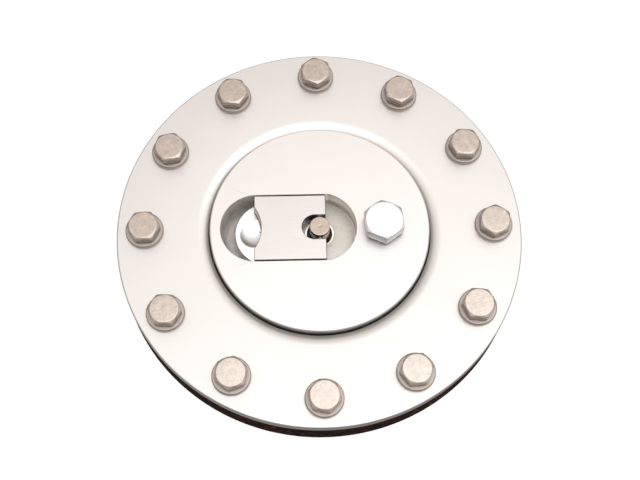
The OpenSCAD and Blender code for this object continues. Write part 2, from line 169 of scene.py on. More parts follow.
def rounded(corners, steps=5):
    """Closed outline from (x, y, radius) corners: a radius above 0 becomes an arc."""
    outline = []
    for i, (x, y, radius) in enumerate(corners):
        here = Vector((x, y))
        if radius <= 0:
            outline.append((x, y))
            continue
        before = (Vector(corners[i - 1][:2]) - here).normalized()
        after = (Vector(corners[(i + 1) % len(corners)][:2]) - here).normalized()
        half = before.angle(after) / 2
        centre = here + (before + after).normalized() * (radius / math.sin(half))
        start = here + before * (radius / math.tan(half)) - centre
        end = here + after * (radius / math.tan(half)) - centre
        swing = math.atan2(start.x * end.y - start.y * end.x, start.dot(end))
        for k in range(steps + 1):
            a = swing * k / steps
            outline.append((centre.x + start.x * math.cos(a) - start.y * math.sin(a),
                            centre.y + start.x * math.sin(a) + start.y * math.cos(a)))
    return outline


def revolve(name, outline, columns=256, centre=(0.0, 0.0)):
    """Turns a closed (radius, z) outline about a vertical axis. Points at radius 0 become single poles."""
    points, rings = [], []
    for r, z in outline:
        if r <= 1e-9:
            rings.append([len(points)])
            points.append((centre[0], centre[1], z))
            continue
        rings.append(list(range(len(points), len(points) + columns)))
        for j in range(columns):
            a = 2 * math.pi * j / columns
            points.append((centre[0] + r * math.cos(a), centre[1] + r * math.sin(a), z))
    return make(name, points, bridge(rings, columns))


def bridge(rings, columns):
    """Faces between neighbouring rings of a closed outline. A ring of one point is a pole."""
    faces = []
    for i, ring in enumerate(rings):
        following = rings[(i + 1) % len(rings)]
        if len(ring) == 1 and len(following) == 1:
            continue
        for j in range(columns):
            k = (j + 1) % columns
            if len(ring) == 1:
                faces.append((ring[0], following[j], following[k]))
            elif len(following) == 1:
                faces.append((ring[j], following[0], ring[k]))
            else:
                faces.append((ring[j], following[j], following[k], ring[k]))
    return faces


def prism(name, outline, low, high, axis="Z"):
    """A straight solid on a closed outline. Along Z the outline is (x, y); along Y it is (x, z)."""
    count = len(outline)
    ends = [low, high]
    if axis == "Z":
        points = [(u, v, e) for e in ends for u, v in outline]
    else:
        points = [(u, e, v) for e in ends for u, v in outline]
    faces = [tuple(range(count)), tuple(range(2 * count - 1, count - 1, -1))]
    faces += [(i, i + count, (i + 1) % count + count, (i + 1) % count) for i in range(count)]
    return outward(make(name, points, faces))


def outward(obj):
    """Makes every face point out of its solid."""
    work = bmesh.new()
    work.from_mesh(obj.data)
    bmesh.ops.recalc_face_normals(work, faces=work.faces)
    work.to_mesh(obj.data)
    work.free()
    return obj


def arc(centre, radius, start, end, steps):
    """Points along an arc, angles in degrees."""
    angles = [math.radians(start + (end - start) * k / steps) for k in range(steps + 1)]
    return [(centre[0] + radius * math.cos(a), centre[1] + radius * math.sin(a)) for a in angles]


def circle(radius, centre=(0.0, 0.0), steps=96, turn=0.0):
    """Points around a circle. turn, in degrees, keeps them off another mesh's own lines."""
    return arc(centre, radius, turn, turn + 360 - 360 / steps, steps - 1)


def combine(obj, others, how):
    """Applies a boolean with each of the other solids and deletes them."""
    for other in others:
        outward(other)
        change = obj.modifiers.new(how.lower(), "BOOLEAN")
        change.operation = how
        change.solver = "EXACT"
        change.object = other
    apply_modifiers(obj)
    for other in others:
        bpy.data.objects.remove(other)
    return merge_close(obj)


def merge_close(obj, gap=0.02):
    """Merges points closer than gap millimetres, which booleans leave where curved faces meet.

    A sliver that vanishes with them can leave a small hole, so those are closed again.
    """
    work = bmesh.new()
    work.from_mesh(obj.data)
    bmesh.ops.remove_doubles(work, verts=work.verts, dist=gap * MM)
    bmesh.ops.dissolve_degenerate(work, edges=work.edges, dist=gap * MM)
    bmesh.ops.holes_fill(work, edges=[edge for edge in work.edges if edge.is_boundary], sides=0)
    work.to_mesh(obj.data)
    work.free()
    return obj


def dissolve_flat(obj):
    """Removes the edges inside flat faces, so that a bevel only finds real ones."""
    work = bmesh.new()
    work.from_mesh(obj.data)
    bmesh.ops.dissolve_limit(work, angle_limit=math.radians(0.5), verts=work.verts, edges=work.edges)
    work.to_mesh(obj.data)
    work.free()
    return obj


def apply_modifiers(obj):
    bpy.context.view_layer.update()
    graph = bpy.context.evaluated_depsgraph_get()
    mesh = bpy.data.meshes.new_from_object(obj.evaluated_get(graph))
    obj.modifiers.clear()
    old = obj.data
    obj.data = mesh
    bpy.data.meshes.remove(old)
    return obj


def soften(obj, width, segments=2, angle=32, material=-1):
    """Breaks the sharp edges of a solid, and shades it smoothly between them."""
    bevel = obj.modifiers.new("edge_break", "BEVEL")
    bevel.width = width * MM
    bevel.segments = segments
    bevel.limit_method = "ANGLE"
    bevel.angle_limit = math.radians(angle)
    bevel.use_clamp_overlap = False
    bevel.material = material
    shade(obj)
    even = obj.modifiers.new("flat_faces", "WEIGHTED_NORMAL")
    even.keep_sharp = True
    even.weight = 80
    return obj


def shade(obj, angle=40):
    obj.data.shade_smooth()
    obj.data.set_sharp_from_angle(angle=math.radians(angle))
    return obj


# ----------------------------------------------------------------------------
# Material tools
# ----------------------------------------------------------------------------

def add(tree, kind, inputs=(), **settings):
    """A new shader node. inputs maps socket names or numbers to a value or to another node's output."""
    made = tree.nodes.new("ShaderNode" + kind)
    for key, value in settings.items():
        setattr(made, key, value)
    for key, value in dict(inputs).items():
        if isinstance(value, bpy.types.NodeSocket):
            tree.links.new(value, made.inputs[key])
        else:
            made.inputs[key].default_value = value
    return made


def place_mm(tree, stretch=(1, 1, 1), shift=(0, 0, 0)):
    """The object's own coordinates in millimetres, stretched."""
    where = add(tree, "TexCoord").outputs["Object"]
    moved = add(tree, "VectorMath", {0: where, 1: tuple(-s * MM for s in shift)}, operation="ADD")
    scale = tuple(s / MM for s in stretch)
    return add(tree, "VectorMath", {0: moved.outputs[0], 1: scale}, operation="MULTIPLY").outputs[0]


def speckle(tree, where, scale, detail=2.0, rough=0.5):
    return add(tree, "TexNoise", {"Vector": where, "Scale": scale, "Detail": detail,
                                  "Roughness": rough}).outputs["Fac"]


def remap(tree, value, low, high, to_low, to_high):
    return add(tree, "MapRange", {"Value": value, "From Min": low, "From Max": high, "To Min": to_low,
                                  "To Max": to_high}).outputs["Result"]


def maths(tree, operation, a, b=0.0):
    return add(tree, "Math", {0: a, 1: b}, operation=operation).outputs[0]


def tint(tree, colour, amount):
    """The colour times a grey amount."""
    grey = add(tree, "CombineColor", {0: amount, 1: amount, 2: amount}).outputs[0]
    return add(tree, "Mix", {"Factor": 1.0, 6: (*colour, 1.0), 7: grey}, data_type="RGBA",
               blend_type="MULTIPLY").outputs[2]


def start_material(name):
    material = bpy.data.materials.new(name)
    material.use_nodes = True
    return material, material.node_tree, material.node_tree.nodes["Principled BSDF"]


def bump(tree, height, depth, under=None):
    """Bump in millimetres. under is the normal of a coarser bump below this one."""
    inputs = {"Height": height, "Distance": depth * MM, "Strength": 1.0}
    if under is not None:
        inputs["Normal"] = under
    return add(tree, "Bump", inputs).outputs["Normal"]


def metal(name, colour, roughness, grain=0.15, grain_depth=0.002, cloud=0.04, cloud_size=9.0, lathe=None,
          lathe_depth=0.001, brush=None, scratches=0.0, side=1.0, wear=0.0, metallic=1.0):
    """A metal with grain, soft clouding, painted shade on upright faces, and optional turning rings,
    brushing, scratches and wear.

    grain is the size of the surface grain; lathe is the (x, y) centre of turning rings; brush is the
    stretch of the grain along x, y and z; side paints shade on upright faces, darkening them, and wear
    brightens edges.
    """
    material, tree, shader = start_material(name)
    where = place_mm(tree)
    clouds = speckle(tree, where, 1 / cloud_size, 3.0)
    fine = speckle(tree, where, 1 / grain, 2.0)
    value = vary(tree, vary(tree, 1.0, clouds, cloud), fine, cloud / 2)
    rough = remap(tree, clouds, 0.3, 0.7, roughness * 0.93, roughness * 1.07)
    normal = bump(tree, fine, grain_depth)
    if lathe is not None:
        rings = turning_rings(tree, lathe)
        normal = bump(tree, rings, lathe_depth, normal)
        value = vary(tree, value, rings, cloud)
    if brush is not None:
        lines = speckle(tree, place_mm(tree, brush), 2.5, 2.0)
        normal = bump(tree, lines, lathe_depth, normal)
        value = vary(tree, value, lines, cloud)
    if scratches > 0:
        value, normal = scratch(tree, value, normal, scratches)
    # Painted shade: upright faces are darkened by the side factor.
    if side < 1:
        value = maths(tree, "MULTIPLY", value, remap(tree, flatness(tree), 0.25, 0.8, side, 1.0))
    if wear > 0:
        value = maths(tree, "MULTIPLY", value, remap(tree, edge_mask(tree, 0.25), 0.0, 1.0, 1.0, 1.0 + wear))
    tree.links.new(tint(tree, colour, value), shader.inputs["Base Color"])
    tree.links.new(rough, shader.inputs["Roughness"])
    tree.links.new(normal, shader.inputs["Normal"])
    shader.inputs["Metallic"].default_value = metallic
    return material


def vary(tree, value, pattern, amount):
    """The value, raised and lowered by a share of itself where the noise pattern is high and low."""
    return maths(tree, "MULTIPLY", remap(tree, pattern, 0.3, 0.7, 1 - amount, 1 + amount), value)


def turning_rings(tree, centre):
    """Fine rings about a vertical axis, as a lathe leaves them."""
    flat = place_mm(tree, (1, 1, 0), (centre[0], centre[1], 0))
    away = add(tree, "VectorMath", {0: flat}, operation="LENGTH").outputs["Value"]
    return add(tree, "TexNoise", {"W": maths(tree, "MULTIPLY", away, 5.0), "Scale": 1.0, "Detail": 3.0},
               noise_dimensions="1D").outputs["Fac"]


def flatness(tree):
    """1 on faces square to the Z axis, 0 on upright ones: the mask for painted shade on upright faces."""
    normal = add(tree, "TexCoord").outputs["Normal"]
    return maths(tree, "ABSOLUTE", add(tree, "SeparateXYZ", {0: normal}).outputs[2])


def scratch(tree, value, normal, amount):
    """Fine crossing scratches: thin ridges of two stretched noises."""
    for stretch, turn in (((0.12, 2.2, 1.0), 0.5), ((0.15, 1.8, 1.0), -0.9)):
        turned = add(tree, "VectorRotate", {"Vector": place_mm(tree), "Angle": turn},
                     rotation_type="Z_AXIS").outputs[0]
        laid = add(tree, "VectorMath", {0: turned, 1: stretch}, operation="MULTIPLY").outputs[0]
        line = speckle(tree, laid, 1.6, 4.0, 0.6)
        ridge = remap(tree, line, 0.60, 0.66, 0.0, 1.0)
        value = maths(tree, "MULTIPLY", value, remap(tree, ridge, 0.0, 1.0, 1.0, 1.0 - amount))
        normal = bump(tree, ridge, -0.004, normal)
    return value, normal


def edge_mask(tree, width):
    """1 on edges, 0 on open faces: how far a rounded normal leans away from the true one."""
    soft = add(tree, "Bevel", {"Radius": width * MM}, samples=4).outputs["Normal"]
    true = add(tree, "NewGeometry").outputs["True Normal"]
    lean = add(tree, "VectorMath", {0: soft, 1: true}, operation="DOT_PRODUCT").outputs["Value"]
    return remap(tree, lean, 0.995, 0.85, 0.0, 1.0)


def gasket_material():
    """Coarse cork and rubber granules: dark brown-black, with a few reddish and greenish specks."""
    material, tree, shader = start_material("gasket_granules")
    where = place_mm(tree)
    warp = add(tree, "TexNoise", {"Vector": where, "Scale": 0.9}).outputs["Color"]
    warped = add(tree, "VectorMath", {0: where, 1: warp}, operation="ADD").outputs[0]
    cells = add(tree, "TexVoronoi", {"Vector": warped, "Scale": 0.75})
    pick = add(tree, "SeparateColor", {0: cells.outputs["Color"]}).outputs[0]
    ramp = add(tree, "ValToRGB", {"Fac": pick})
    ramp.color_ramp.interpolation = "CONSTANT"
    stops = [(0.0, (0.018, 0.009, 0.007)), (0.35, (0.034, 0.015, 0.011)), (0.62, (0.075, 0.019, 0.016)),
             (0.76, (0.027, 0.020, 0.010)), (0.86, (0.046, 0.031, 0.019)), (0.95, (0.140, 0.060, 0.045))]
    fill_ramp(ramp, stops)
    fine = speckle(tree, where, 3.0, 4.0, 0.7)
    grey = remap(tree, fine, 0.3, 0.7, 0.5, 1.5)
    shade_grey = add(tree, "CombineColor", {0: grey, 1: grey, 2: grey}).outputs[0]
    colour = add(tree, "Mix", {"Factor": 1.0, 6: ramp.outputs["Color"], 7: shade_grey}, data_type="RGBA",
                 blend_type="MULTIPLY").outputs[2]
    tree.links.new(colour, shader.inputs["Base Color"])
    shader.inputs["Roughness"].default_value = 0.85
    shader.inputs["Specular IOR Level"].default_value = 0.14
    coarse = bump(tree, cells.outputs["Distance"], -0.25)
    tree.links.new(bump(tree, fine, 0.08, coarse), shader.inputs["Normal"])
    return material


def fill_ramp(ramp, stops):
    elements = ramp.color_ramp.elements
    while len(elements) < len(stops):
        elements.new(0.5)
    for element, (position, colour) in zip(elements, stops):
        element.position = position
        element.color = (*colour, 1.0)


def rubber_material():
    material, tree, shader = start_material("seal_rubber")
    where = place_mm(tree)
    fine = speckle(tree, where, 4.0, 3.0)
    value = remap(tree, fine, 0.3, 0.7, 0.8, 1.2)
    tree.links.new(tint(tree, (0.022, 0.022, 0.023), value), shader.inputs["Base Color"])
    tree.links.new(remap(tree, fine, 0.3, 0.7, 0.4, 0.55), shader.inputs["Roughness"])
    tree.links.new(bump(tree, fine, 0.01), shader.inputs["Normal"])
    return material


def nylon_material():
    material, tree, shader = start_material("insert_nylon")
    fine = speckle(tree, place_mm(tree), 3.0, 2.0)
    colour = tint(tree, (0.03, 0.10, 0.42), remap(tree, fine, 0.3, 0.7, 0.9, 1.1))
    tree.links.new(colour, shader.inputs["Base Color"])
    shader.inputs["Roughness"].default_value = 0.45
    tree.links.new(bump(tree, fine, 0.006), shader.inputs["Normal"])
    return material


def make_materials():
    # A side below 1 paints shade on upright faces: flange rim, lever, lip, bolts, washers, spindle, plug.
    return {
        "flange_aluminium": metal("flange_aluminium", (0.86, 0.835, 0.815), 0.40, grain=0.3, cloud=0.015,
                                  cloud_size=14.0, side=0.92, wear=0.05, metallic=0.9),
        "cap_aluminium": metal("cap_aluminium", (0.88, 0.855, 0.838), 0.34, grain=0.25, cloud=0.012,
                               cloud_size=14.0, metallic=0.9),
        # The cap's outer wall: the cap's aluminium painted dark, painted shade along the gap by the flange.
        "cap_wall_shaded": metal("cap_wall_shaded", (0.42, 0.40, 0.38), 0.42, grain=0.3, cloud=0.05,
                          brush=(1.2, 1.2, 0.1)),
        # Bevelled cap edges: the cap's aluminium painted lighter, a painted highlight along the edges.
        "cap_edge_highlight": metal("cap_edge_highlight", (0.93, 0.91, 0.89), 0.34, grain=0.2, cloud=0.05, cloud_size=2.0),
        "lever_aluminium": metal("lever_aluminium", (0.77, 0.74, 0.72), 0.30, grain=0.25, cloud=0.02,
                                 brush=(0.1, 1.2, 1.2), lathe_depth=0.0006, side=0.42),
        # The lip: the lever's aluminium painted lighter, painted light on the lip down in the pocket.
        "lever_lip_lit": metal("lever_lip_lit", (0.96, 0.95, 0.94), 0.26, grain=0.25, cloud=0.02, side=0.8),
        # Bevelled lever edges: painted dark, a painted shade line along the edges.
        "lever_edge_shaded": metal("lever_edge_shaded", (0.34, 0.31, 0.29), 0.4, grain=0.2, cloud=0.08, cloud_size=2.0),
        "gasket_cork_rubber": gasket_material(),
        "bolt_stainless": metal("bolt_stainless", (0.61, 0.533, 0.478), 0.20, grain=0.7, grain_depth=0.02,
                                cloud=0.1, cloud_size=1.6, side=0.55, wear=0.12),
        "washer_stainless": metal("washer_stainless", (0.52, 0.465, 0.43), 0.44, grain=0.35,
                                  grain_depth=0.004, cloud=0.05, cloud_size=3.0, side=0.8, wear=0.1),
        "spindle_stainless": metal("spindle_stainless", (0.57, 0.47, 0.40), 0.26, grain=0.2, cloud=0.10,
                                   cloud_size=2.0, lathe=(0, 0), lathe_depth=0.006, side=0.5, wear=0.1),
        "pin_steel": metal("pin_steel", (0.62, 0.62, 0.62), 0.25, grain=0.15, cloud=0.03, wear=0.1),
        "bar_steel": metal("bar_steel", (0.58, 0.59, 0.60), 0.36, grain=0.3, cloud=0.06,
                           brush=(1.2, 0.1, 1.2), wear=0.15),
        "wear_steel": metal("wear_steel", (0.64, 0.61, 0.555), 0.42, grain=0.3, grain_depth=0.004,
                            cloud=0.05, cloud_size=3.0, scratches=0.28),
        # Rubbed ring around the wear plate's hole: rubbed wear, and a painted highlight on the hole's chamfer.
        "rubbed_steel_highlight": metal("rubbed_steel_highlight", (0.93, 0.92, 0.90), 0.22, grain=0.2, cloud=0.04, lathe=(0, 0)),
        "spring_steel": metal("spring_steel", (0.5, 0.5, 0.51), 0.3, grain=0.2, cloud=0.05),
        "ring_steel": metal("ring_steel", (0.10, 0.095, 0.09), 0.5, grain=0.2, cloud=0.1, wear=0.4,
                            metallic=0.8),
        # The bush: bronze painted dark, painted shade down in the floor hole.
        "bush_bronze": metal("bush_bronze", (0.20, 0.135, 0.08), 0.45, grain=0.2, cloud=0.06, lathe=(0, 0)),
        # The finger well: painted darker than the cap, painted shade in the recess; the rings are tool marks.
        "well": metal("well", (0.70, 0.665, 0.64), 0.5, grain=0.2, cloud=0.14, cloud_size=3.0,
                      lathe=(-SLOT_REACH, 0), lathe_depth=0.02, metallic=0.3),
        "plug_chrome": metal("plug_chrome", (0.93, 0.93, 0.94), 0.1, grain=1.2, grain_depth=0.003,
                             cloud=0.01, side=0.36),
        "seal_rubber": rubber_material(),
        "insert_nylon": nylon_material(),
    }


MATERIALS = make_materials()


def finish_piece(obj, slot_name, body, *nodes):
    """Gives a new piece its material and its body, and hides the CAD nodes that it stands for."""
    obj.data.materials.clear()
    obj.data.materials.append(MATERIALS[slot_name])
    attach(obj, body)
    if nodes:
        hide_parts(*nodes)
    return obj


# ----------------------------------------------------------------------------
# Flange, gasket and fasteners
# ----------------------------------------------------------------------------

def bolt_places():
    for i in range(BOLT_COUNT):
        a = math.radians(90 + 360 * i / BOLT_COUNT)
        yield (BOLT_CIRCLE_R * math.cos(a), BOLT_CIRCLE_R * math.sin(a))


def lip_corners(count=14):
    """The lip that falls from the flange face towards the cap, from its foot at the bore up to the face."""
    round_r = (LIP_W ** 2 + LIP_FALL ** 2) / (2 * LIP_FALL)
    steepest = math.asin(LIP_W / round_r)
    angles = [steepest * k / count for k in range(count)]
    return [(BORE_R + LIP_W - round_r * math.sin(a), FACE_Z - round_r * (1 - math.cos(a)), 0)
            for a in angles]


def build_flange():
    under, face = GASKET_HIGH.z, FACE_Z
    outline = rounded([
        (LEDGE_R, LEDGE_BOTTOM, 0.3), (BORE_R, LEDGE_BOTTOM, 0.6), (BORE_R, FLANGE_LOW.z, 0.4),
        (NECK_R, FLANGE_LOW.z, 0.4), (NECK_R, under, 0.8),
        (FLANGE_R, under, 0.15), (FLANGE_R, face, RIM_EDGE), *lip_corners(),
        (BORE_R, face - LIP_FALL, 0.2), (BORE_R, SEAT_Z, 0.4), (LEDGE_R, SEAT_Z, 0.3),
    ], steps=10)
    flange = revolve("flange_plate_fine", outline, 360)
    slot_half = (BAR_HIGH.x - BAR_LOW.x) / 2 + 0.8
    slot_x = BAR_HIGH.y + 0.4
    entry = prism("entry", [(-slot_x, -slot_half), (slot_x, -slot_half), (slot_x, slot_half),
                            (-slot_x, slot_half)], LEDGE_BOTTOM - 1, SEAT_Z + 1)
    ends = prism("entry_ends", circle(slot_x, steps=128), LEDGE_BOTTOM - 2, SEAT_Z + 2)
    combine(entry, [ends], "INTERSECT")
    holes = [prism("hole", circle(BOLT_R + 0.3, p, 40, 3.1), under - 1, face + 1) for p in bolt_places()]
    combine(flange, [entry] + holes, "DIFFERENCE")
    shade(flange, 30)
    return finish_piece(flange, "flange_aluminium", "flange", "flange_plate")


def build_gasket():
    """A ring cut from granular sheet: its outer edge is pitted and its lower edge wanders a little."""
    columns, levels = 720, 16
    outer, inner = GASKET_HIGH.x, NECK_R + 1.5
    low, high = GASKET_LOW.z, GASKET_HIGH.z
    points, rings = [], []

    def ring(radius, z, rough):
        rings.append(list(range(len(points), len(points) + columns)))
        for j in range(columns):
            a = 2 * math.pi * j / columns
            spot = Vector((radius * math.cos(a), radius * math.sin(a), z))
            pit = 0.5 + 0.5 * noise.noise(spot * 0.9)
            wander = 0.5 + 0.5 * noise.noise(spot * 0.12)
            r = radius - rough * (0.16 * pit + 0.04 * wander)
            lift = rough * 0.15 * wander if z == low else 0.0
            points.append((r * math.cos(a), r * math.sin(a), z + lift))

    ring(inner, high, 0)
    for k in range(levels + 1):
        ring(outer, high + (low - high) * k / levels, 0.35 if k in (0, levels) else 1.0)
    ring(outer - 2.0, low, 0)
    ring(inner, low, 0)
    gasket = outward(make("base_gasket_fine", points, bridge(rings, columns)))
    holes = [prism("hole", circle(BOLT_R + 0.5, p, 32, 3.7), low - 1, high + 1) for p in bolt_places()]
    combine(gasket, holes, "DIFFERENCE")
    shade(gasket, 60)
    return finish_piece(gasket, "gasket_cork_rubber", "flange", "base_gasket")


def head_turn(node, centre, corner_radius):
    """Angle of a hexagon head's corners about its axis, read from the CAD node's own vertices."""
    east = north = 0.0
    for vertex in frame["nodes"][node].data.vertices:
        away = Vector((vertex.co.x, vertex.co.y)) / MM - Vector(centre)
        if abs(away.length - corner_radius) < 0.02:
            a = 6 * math.atan2(away.y, away.x)
            east += math.cos(a)
            north += math.sin(a)
    return math.atan2(north, east) / 6


def skin(points, faces, centre, rows, columns=72):
    """Adds a closed skin about a vertical axis.

    A row is a height on the axis, or a function that gives (r, z) for an angle.
    """
    rings = []
    for row in rows:
        if not callable(row):
            rings.append([len(points)])
            points.append((*centre, row))
            continue
        rings.append(list(range(len(points), len(points) + columns)))
        for j in range(columns):
            a = 2 * math.pi * j / columns
            r, z = row(a)
            points.append((centre[0] + r * math.cos(a), centre[1] + r * math.sin(a), z))
    faces.extend(bridge(rings, columns))


def ring_row(r, z):
    return lambda a: (r, z)


def thread_rows(radius, pitch, top, tip):
    """Rows of a right-hand thread with round crests, and of its chamfered tip."""
    def at(z):
        def row(a):
            wave = 0.5 + 0.5 * math.cos(2 * math.pi * z / pitch - a)
            return radius - 0.58 * pitch * (1 - wave ** 0.8), z
        return row
    count = int((top - tip - 0.9) / pitch * 8)
    rows = [at(top - k * pitch / 8) for k in range(count)]
    return rows + [ring_row(radius - 0.75 * pitch, tip + 0.25), ring_row(radius - pitch, tip)]


def hexagon_row(turn, flats):
    """Radius of a hexagon with slightly blunt corners, for an angle."""
    half = flats / 2
    blunt = 0.988 * half / math.cos(math.pi / 6)
    return lambda a: min(half / math.cos((a - turn) % (math.pi / 3) - math.pi / 6), blunt)


def head_rows(turn, flats, top_d, face, height):
    """Rows of a hexagon head from its chamfered face back to its seat; a negative height faces it down."""
    hexagon, dome_r, up = hexagon_row(turn, flats), top_d / 2, math.copysign(1, height)
    seat = face - height

    def chamfer_z(r):
        return face - up * (0.02 + math.tan(HEAD_CHAMFER) * max(0.0, r - dome_r))

    def chamfer(share):
        def row(a):
            r = dome_r + (hexagon(a) - dome_r) * share
            return r, chamfer_z(r)
        return row

    def side(share):
        def row(a):
            r = hexagon(a)
            upper, lower = chamfer_z(r), seat + up * 0.3
            return r, upper + (lower - upper) * share
        return row

    rows = [ring_row(dome_r * 0.5, face), ring_row(dome_r - 0.3, face),
            ring_row(dome_r - 0.08, face - up * 0.005)]
    rows += [chamfer(share) for share in (0.0, 0.33, 0.66, 0.92)]
    rows += [side(share) for share in (0.05, 0.5, 0.95)]
    foot_r = flats / 2 * 0.95
    return rows + [lambda a: (min(hexagon(a) - 0.12, flats / 2 * 1.06), seat + up * 0.2),
                   ring_row(foot_r, seat + up * 0.18), ring_row(foot_r, seat)]


def build_bolts():
    """Hexagon bolts, each a single skin: chamfered head, washer face, plain shank and thread."""
    points, faces = [], []
    corner = BOLT_FLATS / 2 / math.cos(math.pi / 6)
    top, seat = BOLT_HIGH.z, WASHER_HIGH.z
    shank = [ring_row(BOLT_SHANK_R + 0.25, seat), ring_row(BOLT_SHANK_R, seat - 0.25),
             ring_row(BOLT_SHANK_R, GASKET_LOW.z + 0.25)]
    thread = thread_rows(BOLT_R, M6_PITCH, GASKET_LOW.z, BOLT_LOW.z)
    for place in bolt_places():
        head = head_rows(head_turn("mounting_bolts", place, corner), BOLT_FLATS, BOLT_TOP_D, top, top - seat)
        skin(points, faces, place, [top] + head + shank + thread + [BOLT_LOW.z])
    bolts = shade(outward(make("mounting_bolts_fine", points, faces)), 28)
    return finish_piece(bolts, "bolt_stainless", "flange", "mounting_bolts")


def build_washers():
    outer = (WASHER_HIGH.x - BOLT_CIRCLE_R)
    outline = rounded([(BOLT_R + 0.2, FACE_Z, 0.1), (outer, FACE_Z, 0.2), (outer, WASHER_HIGH.z, 0.45),
                       (BOLT_R + 0.2, WASHER_HIGH.z, 0.2)], 4)
    pieces = [revolve("washer", outline, 72, place) for place in bolt_places()]
    washers = shade(join("bolt_washers_fine", pieces), 40)
    return finish_piece(washers, "washer_stainless", "flange", "bolt_washers")


def join(name, pieces):
    """One object from several, with their meshes side by side."""
    points, faces = [], []
    for piece in pieces:
        first = len(points)
        points += [v.co / MM for v in piece.data.vertices]
        faces += [[first + i for i in polygon.vertices] for polygon in piece.data.polygons]
        bpy.data.objects.remove(piece)
    return outward(make(name, points, faces))


# ----------------------------------------------------------------------------
# Cap
# ----------------------------------------------------------------------------

def pocket_outline():
    """Plan of the lever pocket: round tip end, straight sides, larger round eye about the cap's axis."""
    meet = math.degrees(math.asin(SLOT_R / EYE_R))
    return arc((-SLOT_REACH, 0), SLOT_R, 90, 270, 48) + arc((0, 0), EYE_R, -meet, meet, 72)


def well_cutter():
    """The finger well: the pocket's tip end, rounded at the bottom, with a flat wall beside the eye."""
    bottom = CAP_TOP - WELL_DEPTH
    steps, count = 10, 40
    layers = [(0.0, CAP_TOP + 1), (0.0, bottom + WELL_FILLET)]
    layers += [(WELL_FILLET * (1 - math.cos(a)), bottom + WELL_FILLET * (1 - math.sin(a)))
               for a in [math.pi / 2 * k / steps for k in range(1, steps + 1)]]
    points, rings = [], []
    for inset, z in layers:
        r = SLOT_R - inset
        outline = arc((-SLOT_REACH, 0), r, 90, 270, count) + [(WELL_END_X, -r), (WELL_END_X, r)]
        rings.append(range(len(points), len(points) + len(outline)))
        points += [(x, y, z) for x, y in outline]
    n = len(rings[0])
    faces = [tuple(rings[0])] + [tuple(reversed(rings[-1]))]
    for upper, lower in zip(rings, rings[1:]):
        faces += [(upper[j], lower[j], lower[(j + 1) % n], upper[(j + 1) % n]) for j in range(n)]
    return outward(make("well", points, faces))


def build_cap():
    shoulder = SEAT_Z + 0.4
    groove_top, groove_out = SEAL_HIGH.z + 0.02, SEAL_HIGH.x + 0.15
    groove_in = 2 * SEAL_MEAN_R - groove_out
    spigot_r = LEDGE_R - 0.4
    outline = rounded([
        (0, CAP_TOP, 0), (CAP_R - CAP_CHAMFER, CAP_TOP, 0.12), (CAP_R, CAP_TOP - CAP_CHAMFER, 0.12),
        (CAP_R, shoulder, 0.3), (groove_out, shoulder, 0.1),
        (groove_out, groove_top, 0.2), (groove_in, groove_top, 0.2), (groove_in, shoulder, 0.1),
        (spigot_r, shoulder, 0.4), (spigot_r, CAP_LOW.z, 0.4), (0, CAP_LOW.z, 0)], 6)
    cap = revolve("cap_body_fine", outline, 360)
    ring_low, ring_high = box_mm("retaining_ring")
    bush_high = box_mm("spindle_bush")[1]
    gland_high = box_mm("gland_washer")[1]
    combine(cap, [
        prism("pocket", pocket_outline(), PLATE_LOW.z, CAP_TOP + 1),
        well_cutter(),
        prism("floor_hole", circle(FLOOR_HOLE_R), bush_high.z - 1, PLATE_LOW.z + 1),
        prism("gland", circle(bush_high.x), gland_high.z - 1, bush_high.z),
        prism("washer_bore", circle(gland_high.x + 0.1), CAP_LOW.z - 1, gland_high.z),
        prism("ring_groove", circle(-ring_low.x + 0.05), ring_low.z - 0.05, ring_high.z + 0.05),
        prism("vent", circle(PLUG_THREAD_R + 0.03, (PLUG_X, 0), 64), CAP_LOW.z - 1, CAP_TOP + 1),
    ], "DIFFERENCE")
    # Bevel faces get material 3, the painted highlight on the cap's edges.
    soften(cap, 0.12, 2, 50, material=3)
    finish_piece(cap, "cap_aluminium", "cap", "cap_body")
    # Materials 1 to 3: the well's and the outer wall's painted shade, the edges' painted highlight.
    for name in ("well", "cap_wall_shaded", "cap_edge_highlight"):
        cap.data.materials.append(MATERIALS[name])
    for polygon in cap.data.polygons:
        polygon.material_index = cap_surface(polygon.center / MM)
    return cap


def cap_surface(place):
    """Which material a cap face has: 1, finger well; 2, outer wall (both painted shade); 0 elsewhere."""
    x, y, z = place
    in_well = x < WELL_END_X + 0.05 and math.hypot(min(0.0, x + SLOT_REACH), y) < SLOT_R + 0.05
    if in_well and WELL_DEPTH + 0.05 > CAP_TOP - z > 0.05:
        return 1
    return 2 if math.hypot(x, y) > CAP_R - 0.1 else 0


def build_wear_plate():
    """A flat ring, rubbed bright around its hole, with a fine groove around the rubbed part; the
    brightness is also a painted highlight on the hole's chamfer.
    """
    top, groove, outer_r = PLATE_HIGH.z, 0.1, PLATE_HIGH.x - 0.22
    outline = rounded([(FLOOR_HOLE_R, PLATE_LOW.z, 0), (outer_r, PLATE_LOW.z, 0.1), (outer_r, top, 0.12),
                       (RUBBED_HIGHLIGHT_R + 2 * groove, top, 0),
                       (RUBBED_HIGHLIGHT_R + groove, top - groove, 0), (RUBBED_HIGHLIGHT_R, top, 0),
                       (FLOOR_HOLE_R + 0.2, top, 0.05), (FLOOR_HOLE_R, top - 0.2, 0.05)], 3)
    plate = shade(revolve("wear_plate_fine", outline, 192), 30)
    finish_piece(plate, "wear_steel", "cap", "wear_plate")
    # The rubbed ring: rubbed wear and a painted highlight on the hole's chamfer.
    plate.data.materials.append(MATERIALS["rubbed_steel_highlight"])
    for polygon in plate.data.polygons:
        x, y, z = polygon.center / MM
        if math.hypot(x, y) < RUBBED_HIGHLIGHT_R and z > top - 0.3:
            polygon.material_index = 1
    return plate


